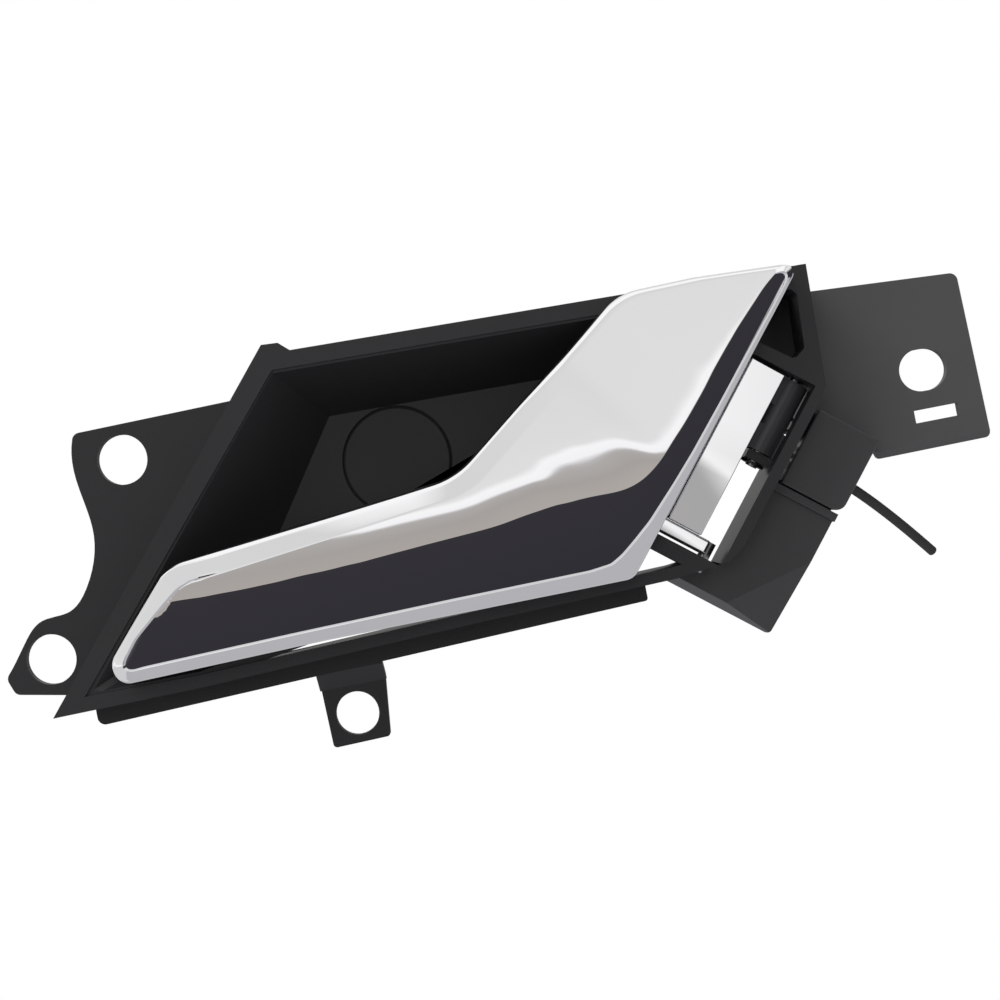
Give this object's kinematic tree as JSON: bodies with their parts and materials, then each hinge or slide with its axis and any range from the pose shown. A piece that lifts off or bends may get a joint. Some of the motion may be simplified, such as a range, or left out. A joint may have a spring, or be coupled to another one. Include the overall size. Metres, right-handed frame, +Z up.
{
  "type": "car interior door handle",
  "caption": "Car inner door handle: chrome wedge lever on a slanted hinge in a black moulded bowl with screw ears, a tab and an end plate, and a stub of release cable.",
  "frame": {"origin": "axis of the upper ear hole, on the rear face of the ear that lies on the door", "axes": "+X along the housing from the ears to the end plate, +Y into the door, away from the hand, +Z up"},
  "size_m": [0.2011, 0.0396, 0.0798],
  "materials": {
    "black_plastic": "fine moulded grain, black",
    "plate_plastic": "satin black",
    "guard_plastic": "satin black",
    "lever_chrome": "bright chrome plate on plastic",
    "zinc_steel": "bright zinc",
    "spring_steel": "oiled black spring steel",
    "black_rubber": "soft black rubber",
    "cable_sheath": "smooth black sheath"
  },
  "bodies": {
    "base": {"housing": "black_plastic", "screw_cap": "black_plastic", "end_plate": "plate_plastic", "plate_screw_1": "zinc_steel", "plate_screw_2": "zinc_steel", "return_spring": "spring_steel", "upper_pin": "zinc_steel", "lower_pin": "zinc_steel", "pin_clip": "spring_steel", "rest_pad": "black_rubber", "open_stop": "black_rubber", "cable_ferrule": "guard_plastic", "release_cable": "cable_sheath", "cable_cover": "plate_plastic", "cable_guard": "guard_plastic", "cover_screw": "zinc_steel", "guard_screw": "zinc_steel"},
    "lever": {"lever": "lever_chrome", "lever_back_cover": "black_plastic", "lever_carrier": "black_plastic", "carrier_screw_1": "zinc_steel", "carrier_screw_2": "zinc_steel"},
    "wire": {"cable_nipple": "zinc_steel", "pull_wire": "zinc_steel"}
  },
  "joints": [
    {"name": "lever_hinge", "type": "hinge", "parent": "base", "child": "lever", "pos_m": [0.1208, -0.013, -0.0254], "axis": [0.6252, 0, 0.7804], "range_deg": [0, 35], "stiffness_Nm_per_rad": 0.12, "springref_deg": -40.11},
    {"name": "wire_slide", "type": "slide", "parent": "base", "child": "wire", "axis": [-0.7804, 0, 0.6252], "range_m": [0, 0.005]}
  ],
  "couplings": [
    {"joint": "wire_slide", "follows": "lever_hinge", "m_per_rad": 0.0080524}
  ]
}
